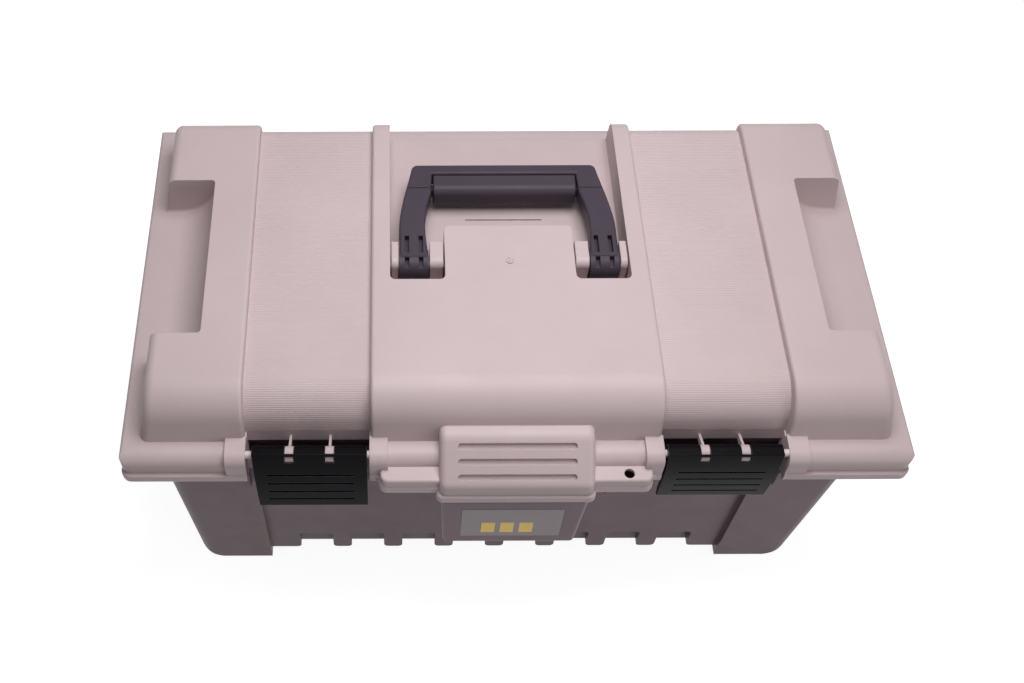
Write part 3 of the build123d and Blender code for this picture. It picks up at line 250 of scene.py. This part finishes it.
@dataclass(frozen=True)
class PrintedFilm:
    """Screen-printed polycarbonate film: a smooth satin face with three plain printed blocks."""

    name: str
    ground: str = "#74666C"
    ink: str = "#FFD22A"
    blocks: tuple[tuple[float, float, float, float], ...] = (
        (-22.0 * MM, -12.0 * MM, 158.0 * MM, 174.0 * MM),
        (-8.0 * MM, 2.0 * MM, 158.0 * MM, 174.0 * MM),
        (6.0 * MM, 16.0 * MM, 158.0 * MM, 174.0 * MM),
    )

    def material(self) -> bpy.types.Material:
        """Builds the finish; each block is left, right, bottom and top in the box's own frame.

        Returns:
            The new material.
        """
        made = bpy.data.materials.new(self.name)
        made.use_nodes = True
        tree = made.node_tree
        shader = tree.nodes["Principled BSDF"]
        place = add_node(tree, "ShaderNodeTexCoord").outputs["Object"]
        split = add_node(tree, "ShaderNodeSeparateXYZ", Vector=place)
        printed: bpy.types.NodeSocket | float = 0.0
        for left, right, bottom, top in self.blocks:
            inside = calculate(tree, "MULTIPLY", calculate(tree, "GREATER_THAN", split.outputs[0], left),
                               calculate(tree, "LESS_THAN", split.outputs[0], right))
            inside = calculate(tree, "MULTIPLY", inside,
                               calculate(tree, "GREATER_THAN", split.outputs[2], bottom))
            inside = calculate(tree, "MULTIPLY", inside, calculate(tree, "LESS_THAN", split.outputs[2], top))
            printed = calculate(tree, "MAXIMUM", inside, printed)
        tint = add_node(tree, "ShaderNodeMix", {"data_type": "RGBA"}, Factor=printed,
                        in6=linear(self.ground), in7=linear(self.ink))
        tree.links.new(tint.outputs[2], shader.inputs["Base Color"])
        film = add_node(tree, "ShaderNodeTexNoise", Vector=place, Scale=1 / (1.5 * MM), Detail=2.0)
        bump = add_node(tree, "ShaderNodeBump", Height=film.outputs["Fac"], Distance=0.01 * MM)
        tree.links.new(bump.outputs[0], shader.inputs["Normal"])
        shader.inputs["Roughness"].default_value = 0.34
        return made


class Finish(Enum):
    """The finishes of the box, one for each kind of piece."""

    LID = MouldedPolypropylene("lid_polypropylene", "#C9B6B8", "#C5B2B4", "#DDD0CF")
    RIBS = MouldedPolypropylene("ribbed_polypropylene", "#C9B6B8", "#C5B2B4", "#DDD0CF", edge=0.1 * MM,
                                edge_highlight_and_wear=0.0, grain_depth=0.02 * MM)
    BASE = MouldedPolypropylene("base_polypropylene", "#776368", "#725E64", "#9A8C90", roughness=0.42,
                                specular=0.2)
    HANDLE = MouldedPolypropylene("handle_nylon", "#473E49", "#433A45", "#6A616D", roughness=0.4,
                                  specular=0.15, grain_depth=0.02 * MM, edge=0.6 * MM, speck=0.15)
    # The latch's light edge colour at full strength paints highlights on its roll and the grooves' lips; only
    # the faint scuffs and specks are wear.
    LATCH = MouldedPolypropylene("latch_nylon", "#0C090D", "#0A070B", "#8C8592", roughness=0.32,
                                 specular=0.06, grain_depth=0.02 * MM, edge=0.5 * MM, edge_highlight_and_wear=1.0,
                                 scuff=0.02, speck=0.03)
    PALE = MouldedPolypropylene("pale_acetal", "#DDD0CE", "#D8CBC9", "#EFE6E4", roughness=0.3,
                                grain_depth=0.01 * MM, edge=0.3 * MM)
    TRAY = MouldedPolypropylene("tray_polypropylene", "#B5A5A6", "#B1A1A2", "#CFC3C3", roughness=0.45)
    STEEL = DrawnSteel("drawn_steel")
    FILM = PrintedFilm("printed_film")


MATERIALS: dict[Finish, bpy.types.Material] = {}


def dress(piece: bpy.types.Object, finish: Finish) -> None:
    """Gives a piece one finish all over.

    Args:
        piece: The object to dress.
        finish: The finish to give it.
    """
    if finish not in MATERIALS:
        MATERIALS[finish] = finish.value.material()
    if piece.data.materials:
        for index in range(len(piece.data.materials)):
            piece.data.materials[index] = MATERIALS[finish]
    else:
        piece.data.materials.append(MATERIALS[finish])


def deselect_all() -> None:
    """Leaves nothing selected, so that the next operator acts on its own piece only."""
    bpy.ops.object.select_all(action="DESELECT")


def edit_faces(piece: bpy.types.Object, above: float) -> None:
    """Selects the faces of the piece in edit mode whose middles lie above a height.

    Args:
        piece: The object that is being edited.
        above: The height in metres.
    """
    bpy.ops.object.mode_set(mode="OBJECT")
    for face in piece.data.polygons:
        face.select = face.center.z > above
    bpy.ops.object.mode_set(mode="EDIT")


@dataclass
class GateMark:
    """The small ring with a nub that the mould's gate leaves on the lid, in front of the handle."""

    place_y: float = -5.9 * MM
    radius: float = 2.6 * MM
    ring: float = 0.6 * MM
    height: float = 0.9 * MM
    nub: float = 0.9 * MM
    nub_slope: float = 0.2          # width of the nub's side, as a part of its radius
    dip: float = 0.8                # depth of the floor inside the ring, as a part of the height
    nub_rise: float = 0.6           # the nub's height over that floor, as a part of the height
    sink: float = 0.3 * MM
    sides: int = 32

    def build(self) -> bpy.types.Object:
        """Raises the ring out of a disc and the nub out of its middle.

        Returns:
            The mark.
        """
        _, place, _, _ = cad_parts["lid_shell"].ray_cast((0, self.place_y, 1.0), (0, 0, -1))
        deselect_all()
        bpy.ops.mesh.primitive_circle_add(vertices=self.sides, radius=self.radius, fill_type="NGON",
                                          location=(0, self.place_y, place.z - self.sink))
        mark = bpy.context.object
        mark.name = "gate_mark"
        bpy.ops.object.transform_apply(location=True)
        bpy.ops.object.mode_set(mode="EDIT")
        bpy.ops.mesh.select_mode(type="FACE")
        bpy.ops.mesh.select_all(action="SELECT")
        lift = {"value": (0, 0, self.sink + self.height)}
        bpy.ops.mesh.extrude_region_move(TRANSFORM_OT_translate=lift)
        edit_faces(mark, place.z + self.height / 2)
        bpy.ops.mesh.inset(thickness=self.ring)
        bpy.ops.transform.translate(value=(0, 0, -self.dip * self.height))
        bpy.ops.mesh.inset(thickness=self.radius - self.ring - self.nub)
        bpy.ops.mesh.inset(thickness=self.nub_slope * self.nub)
        bpy.ops.transform.translate(value=(0, 0, self.nub_rise * self.height))
        bpy.ops.mesh.select_all(action="SELECT")
        bpy.ops.mesh.normals_make_consistent(inside=False)
        bpy.ops.object.mode_set(mode="OBJECT")
        bpy.ops.object.shade_smooth_by_angle(angle=math.radians(SMOOTH_BELOW))
        dress(mark, Finish.LID)
        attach(mark, "lid")
        return mark


@dataclass(frozen=True)
class Shoulder:
    """One end of a lid panel in side view: level, then round, then down a leaning wall."""

    foot_y: float               # distance of the wall from the box's middle at the flange's level
    lean: float                 # run of the wall for each unit of height
    radius: float
    flange: float = 238.0 * MM
    foot: float = 238.6 * MM
    top: float = 268.0 * MM

    @property
    def turn(self) -> float:
        """The arc's angle, from the level top to the wall."""
        return math.pi / 2 - math.atan(self.lean)

    @property
    def centre(self) -> float:
        """Distance of the arc's centre from the box's middle."""
        corner = self.foot_y - self.lean * (self.top - self.flange)
        return corner - self.radius * math.tan(self.turn / 2)

    @property
    def wall(self) -> float:
        """Length of the wall from the foot up to the arc."""
        wall_turn = math.atan(self.lean)
        arc_foot = self.top - self.radius + self.radius * math.sin(wall_turn)
        return (arc_foot - self.foot) / math.cos(wall_turn)

    def place(self, past: float, lift: float) -> tuple[float, float]:
        """Finds a point past the start of the arc.

        Args:
            past: Distance along the surface from where the arc starts.
            lift: Height over the surface.

        Returns:
            The point's distance from the box's middle, and its z.
        """
        angle = min(past / self.radius, self.turn)
        below = max(0.0, past - self.radius * self.turn)
        out = self.centre + (self.radius + lift) * math.sin(angle) + below * math.cos(angle)
        z = self.top - self.radius + (self.radius + lift) * math.cos(angle) - below * math.sin(angle)
        return out, z


@dataclass
class PanelRibs:
    """The fine ribs that run along each side panel of the lid, from its front foot over to its back foot."""

    pitch: float = 1.6 * MM
    depth: float = 0.26 * MM
    sink: float = 0.4 * MM          # how far the ribbed skin reaches into the lid's wall
    proud: float = 0.02 * MM        # and how far its valleys stand out of it
    inner: float = 103.1 * MM
    outer: float = 191.6 * MM
    front: Shoulder = Shoulder(127.9 * MM, 0.26, 28.0 * MM)
    back: Shoulder = Shoulder(140.0 * MM, 0.13, 12.0 * MM)
    steps: int = 4                  # rows across one rib
    row_reach: float = 0.1          # a row's corners lie this near to it, as a part of the pitch
    weld: float = 0.01 * MM
    smooth_below: float = 40

    def wrapped(self, run: float, lift: float) -> tuple[float, float]:
        """Carries a point of the flat ribbed strip onto the panel.

        Args:
            run: Distance along the panel, from the front foot.
            lift: Height over the panel's surface.

        Returns:
            The point's y and z.
        """
        at = run - self.front.wall - self.front.radius * self.front.turn - self.front.centre
        if at < -self.front.centre:
            out, z = self.front.place(-self.front.centre - at, lift)
            return -out, z
        if at > self.back.centre:
            return self.back.place(at - self.back.centre, lift)
        return at, self.front.top + lift

    def length(self) -> float:
        """Measures the panel from foot to foot.

        Returns:
            The length over both shoulders, in metres.
        """
        return sum(end.wall + end.radius * end.turn + end.centre for end in (self.front, self.back))

    def rib(self) -> bpy.types.Object:
        """Models one flat rib, with its middle rows raised.

        Returns:
            The rib, with its front edge at zero.
        """
        deselect_all()
        bpy.ops.mesh.primitive_grid_add(x_subdivisions=1, y_subdivisions=self.steps, size=1)
        rib = bpy.context.object
        rib.scale = (self.outer - self.inner, self.pitch, 1)
        rib.location = ((self.inner + self.outer) / 2, self.pitch / 2, self.proud)
        bpy.ops.object.transform_apply(location=True, scale=True)
        for row in range(1, self.steps):
            height = self.depth * math.sin(math.pi * row / self.steps) ** 2
            for vertex in rib.data.vertices:
                vertex.select = abs(vertex.co.y - row * self.pitch / self.steps) < self.row_reach * self.pitch
            for element in (*rib.data.edges, *rib.data.polygons):
                element.select = False
            bpy.ops.object.mode_set(mode="EDIT")
            bpy.ops.transform.translate(value=(0, 0, height))
            bpy.ops.object.mode_set(mode="OBJECT")
        return rib

    def build(self) -> list[bpy.types.Object]:
        """Repeats the rib along the panel, wraps the strip over the shoulders and copies it to the left.

        Returns:
            The two ribbed skins.
        """
        right = self.rib()
        right.name = "panel_ribs_right"
        count = int(self.length() / self.pitch)
        rows = right.modifiers.new("rows", "ARRAY")
        rows.count = count
        rows.use_merge_vertices = True
        rows.merge_threshold = self.weld
        rows.use_relative_offset = False
        rows.use_constant_offset = True
        rows.constant_offset_displace = (0, self.pitch, 0)
        bpy.ops.object.modifier_apply(modifier=rows.name)
        stretch = self.length() / (count * self.pitch)
        for vertex in right.data.vertices:
            y, z = self.wrapped(vertex.co.y * stretch, vertex.co.z)
            vertex.co = (vertex.co.x, y, z)
        skin = right.modifiers.new("skin", "SOLIDIFY")
        skin.thickness = self.sink
        skin.offset = -1
        bpy.ops.object.modifier_apply(modifier=skin.name)
        left = right.copy()
        left.data = right.data.copy()
        left.name = "panel_ribs_left"
        bpy.context.scene.collection.objects.link(left)
        for vertex in left.data.vertices:
            vertex.co.x = -vertex.co.x
        left.data.flip_normals()
        for skin_piece in (right, left):
            deselect_all()
            skin_piece.select_set(True)
            bpy.context.view_layer.objects.active = skin_piece
            bpy.ops.object.shade_smooth_by_angle(angle=math.radians(self.smooth_below))
            dress(skin_piece, Finish.RIBS)
            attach(skin_piece, "lid")
        return [right, left]


@dataclass
class Lid:
    """The lid: its shell, the latch rods, the handle pins, the panels' ribs and the gate's mark."""

    def build(self) -> list[bpy.types.Object]:
        """Dresses the lid's pieces.

        Returns:
            The pieces.
        """
        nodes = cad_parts
        shell = nodes["lid_shell"]
        dress(shell, Finish.LID)
        made = [shell]
        for name in ("latch_rod_left", "latch_rod_right", "handle_pin_left", "handle_pin_right"):
            dress(nodes[name], Finish.PALE)
            made.append(nodes[name])
        return made + PanelRibs().build() + [GateMark().build()]


@dataclass
class Base:
    """The tub with its label and hinge rods."""

    def build(self) -> list[bpy.types.Object]:
        """Dresses the base's pieces.

        Returns:
            The pieces.
        """
        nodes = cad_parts
        dress(nodes["base_shell"], Finish.BASE)
        dress(nodes["label_plate"], Finish.FILM)
        dress(nodes["hinge_rod_left"], Finish.STEEL)
        dress(nodes["hinge_rod_right"], Finish.STEEL)
        return [nodes[n] for n in ("base_shell", "label_plate", "hinge_rod_left", "hinge_rod_right")]


@dataclass
class BlackFittings:
    """The latches and the carry handle."""

    def build(self) -> list[bpy.types.Object]:
        """Dresses the black pieces.

        Returns:
            The pieces.
        """
        latches = [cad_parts[n] for n in ("latch_left", "latch_right")]
        handles = [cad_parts[n] for n in ("handle_frame", "handle_grip", "tray_handle")]
        for piece in latches:
            dress(piece, Finish.LATCH)
        for piece in handles:
            dress(piece, Finish.HANDLE)
        return latches + handles


@dataclass
class Tray:
    """The lift-out tray and its dividers."""

    def build(self) -> list[bpy.types.Object]:
        """Dresses the tray's pieces.

        Returns:
            The pieces.
        """
        made = [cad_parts["tray_shell"]] + [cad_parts[f"tray_divider_{i}"] for i in range(1, 7)]
        for piece in made:
            dress(piece, Finish.TRAY)
        return made


@dataclass
class PhotoCamera:
    """The camera that sees the box as the photograph does; its lens and shift suit a frame of 1024 by 683."""

    place: tuple[float, float, float] = (-0.0864, -0.5607, 1.00715)
    elevation: float = 56.5
    roll: float = -0.20
    lens: float = 43.64
    shift_x: float = 0.116

    def build(self) -> bpy.types.Object:
        """Makes the scene's camera.

        Returns:
            The camera.
        """
        data = bpy.data.cameras.new("photo_camera")
        data.lens = self.lens
        data.sensor_width = 36.0
        data.shift_x = self.shift_x
        data.clip_start = 0.05
        data.clip_end = 30.0
        camera = bpy.data.objects.new("photo_camera", data)
        bpy.context.scene.collection.objects.link(camera)
        turn = Matrix.Rotation(math.radians(90 - self.elevation), 4, "X")
        turn = turn @ Matrix.Rotation(math.radians(self.roll), 4, "Z")
        camera.matrix_world = Matrix.Translation(self.place) @ turn
        bpy.context.scene.camera = camera
        return camera


@dataclass
class Studio:
    """A plain pale floor under soft lamps."""

    floor_size: float = 12.0
    floor_colour: str = "#BFBDBF"
    floor_glow: float = 0.9
    lamps: tuple[tuple[str, tuple[float, float, float], tuple[float, float, float], float, float], ...] = (
        ("softbox", (0.04, 0.01, 1.0), (0.0, 0.0, 0.2), 0.5, 5.6),
        ("right_fill", (1.4, -1.7, 0.4), (0.0, 0.0, 0.12), 1.2, 9.0),
    )
    world_strength: float = 0.14

    def build(self) -> None:
        """Makes the floor, the lamps and the world."""
        self.floor()
        for name, place, target, size, power in self.lamps:
            data = bpy.data.lights.new(name, "AREA")
            data.shape = "SQUARE"
            data.size = size
            data.energy = power
            lamp = bpy.data.objects.new(name, data)
            bpy.context.scene.collection.objects.link(lamp)
            lamp.location = place
            aim = Vector(target) - Vector(place)
            lamp.rotation_euler = aim.to_track_quat("-Z", "Y").to_euler()
        self.world()
        bpy.context.scene.view_settings.view_transform = "Standard"

    def floor(self) -> None:
        """Makes the floor; it looks white to the camera and still takes the box's shadow."""
        deselect_all()
        bpy.ops.mesh.primitive_plane_add(size=self.floor_size, location=(0, 0, 0))
        ground = bpy.context.object
        ground.name = "floor"
        made = bpy.data.materials.new("pale_floor")
        made.use_nodes = True
        tree = made.node_tree
        tree.nodes["Principled BSDF"].inputs["Base Color"].default_value = linear(self.floor_colour)
        tree.nodes["Principled BSDF"].inputs["Roughness"].default_value = 0.9
        path = add_node(tree, "ShaderNodeLightPath")
        seen = calculate(tree, "MAXIMUM", path.outputs["Is Camera Ray"], path.outputs["Is Glossy Ray"])
        seen = calculate(tree, "MAXIMUM", seen, path.outputs["Is Transmission Ray"])
        glow = calculate(tree, "MULTIPLY", seen, self.floor_glow)
        tree.nodes["Principled BSDF"].inputs["Emission Color"].default_value = (1, 1, 1, 1)
        tree.links.new(glow, tree.nodes["Principled BSDF"].inputs["Emission Strength"])
        ground.data.materials.append(made)

    def world(self) -> None:
        """Makes an even pale surround, white where the camera sees it."""
        world = bpy.data.worlds.new("pale_surround")
        bpy.context.scene.world = world
        world.use_nodes = True
        tree = world.node_tree
        path = add_node(tree, "ShaderNodeLightPath")
        seen = calculate(tree, "MAXIMUM", path.outputs["Is Camera Ray"], path.outputs["Is Glossy Ray"])
        seen = calculate(tree, "MAXIMUM", seen, path.outputs["Is Transmission Ray"])
        strength = calculate(tree, "MULTIPLY_ADD", seen, 1.0 - self.world_strength, self.world_strength)
        tree.links.new(strength, tree.nodes["Background"].inputs["Strength"])
        tree.nodes["Background"].inputs["Color"].default_value = (1, 1, 1, 1)


def main() -> None:
    """Builds the whole scene in order."""
    logging.basicConfig(level=logging.INFO, format="%(name)s: %(message)s")
    for assembly in (Base(), Tray(), Lid(), BlackFittings()):
        for piece in assembly.build():
            LOG.info("%s: %s", type(assembly).__name__, piece.name)
    Studio().build()
    PhotoCamera().build()


if __name__ == "__main__":
    main()
